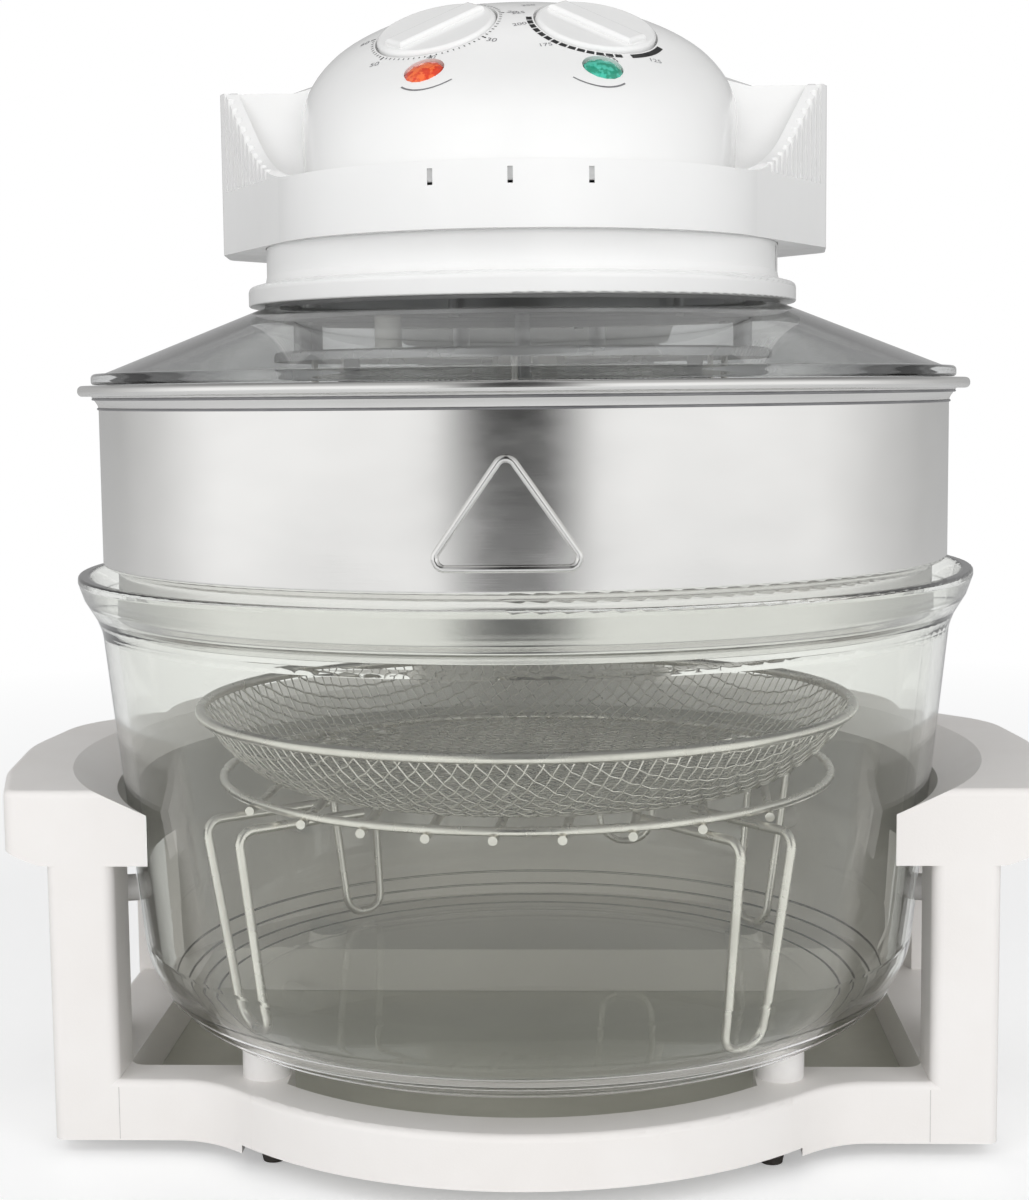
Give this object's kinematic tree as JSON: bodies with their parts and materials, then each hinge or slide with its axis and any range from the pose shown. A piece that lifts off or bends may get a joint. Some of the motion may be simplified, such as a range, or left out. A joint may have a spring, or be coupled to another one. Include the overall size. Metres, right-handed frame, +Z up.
{
  "type": "halogen oven",
  "caption": "Countertop halogen oven: glass bowl with steel extender ring and wire rack and basket in a white stand, under a hinged glass lid with a domed control head.",
  "frame": {"origin": "centre of the footprint's bounding box, on the table under the feet", "axes": "+Z up, front towards -Y, +X to the right seen from the front"},
  "size_m": [0.3958, 0.3822, 0.4137],
  "materials": {
    "white_gloss": "gloss",
    "white_stand": "satin",
    "grey_plastic": "satin",
    "black_plastic": "satin",
    "clear_glass": "clear",
    "lid_glass": "smoked",
    "tube_glass": "clear",
    "brushed_steel": "brushed",
    "sheet_steel": "satin",
    "chrome_wire": "polished",
    "bright_sheet": "bright",
    "cast_hinge": "satin",
    "motor_steel": "satin",
    "rubber_black": "matte",
    "silicone_grey": "matte",
    "silicone_white": "matte",
    "ceramic": "matte",
    "red_lens": "translucent",
    "green_lens": "translucent"
  },
  "bodies": {
    "stand": {"stand_frame": "white_stand", "floor_cover": "grey_plastic", "rear_cover": "white_stand", "cord_inlet": "black_plastic", "rubber_feet": "rubber_black", "bowl_pads": "silicone_white", "bowl_bumpers": "silicone_white", "hinge_bracket": "cast_hinge", "hinge_pin": "sheet_steel", "glass_bowl": "clear_glass", "extender_ring": "brushed_steel"},
    "lid": {"glass_lid": "lid_glass", "lid_seal": "silicone_grey", "clamp_ring": "white_gloss", "neck": "white_gloss", "heat_shield": "sheet_steel", "clamp_screws": "sheet_steel", "head_housing": "white_gloss", "control_dome": "white_gloss", "timer_unit": "grey_plastic", "thermostat_unit": "grey_plastic", "power_lens": "red_lens", "heat_lens": "green_lens", "lamp_holders": "grey_plastic", "hinge_bushes": "black_plastic", "lid_arm": "cast_hinge", "reflector": "bright_sheet", "heater_posts": "sheet_steel", "ceramic_sleeve": "ceramic", "halogen_tube": "tube_glass", "tube_holders": "ceramic", "tube_clips": "sheet_steel", "heater_guard": "chrome_wire", "motor": "motor_steel", "motor_bracket": "sheet_steel", "terminal_block": "ceramic", "thermal_cutout": "sheet_steel", "tilt_switch": "black_plastic"},
    "timer_dial": {"timer_dial": "white_gloss"},
    "thermostat_dial": {"thermostat_dial": "white_gloss"},
    "fan_rotor": {"fan_shaft": "sheet_steel", "convection_fan": "bright_sheet", "cooling_fan": "black_plastic"},
    "rack": {"rack": "chrome_wire"},
    "basket": {"basket": "chrome_wire"}
  },
  "joints": [
    {"name": "lid_hinge", "type": "hinge", "parent": "stand", "child": "lid", "pos_m": [0, 0.1689, 0.298], "axis": [-1, 0, 0], "range_deg": [0, 85]},
    {"name": "timer_turn", "type": "hinge", "parent": "lid", "child": "timer_dial", "pos_m": [-0.029, -0.0611, 0.40142], "axis": [0.181, 0.4917, -0.8517], "range_deg": [0, 300]},
    {"name": "thermostat_turn", "type": "hinge", "parent": "lid", "child": "thermostat_dial", "pos_m": [0.029, -0.0611, 0.40142], "axis": [-0.181, 0.4917, -0.8517], "range_deg": [0, 270]},
    {"name": "fan_spin", "type": "hinge", "parent": "lid", "child": "fan_rotor", "pos_m": [0, -0.0211, 0.2853], "axis": [0, 0, 1], "continuous": true},
    {"name": "rack_lift", "type": "slide", "parent": "stand", "child": "rack", "axis": [0, 0, 1], "range_m": [0, 0.04]},
    {"name": "basket_lift", "type": "slide", "parent": "rack", "child": "basket", "axis": [0, 0, 1], "range_m": [0, 0.06]}
  ]
}
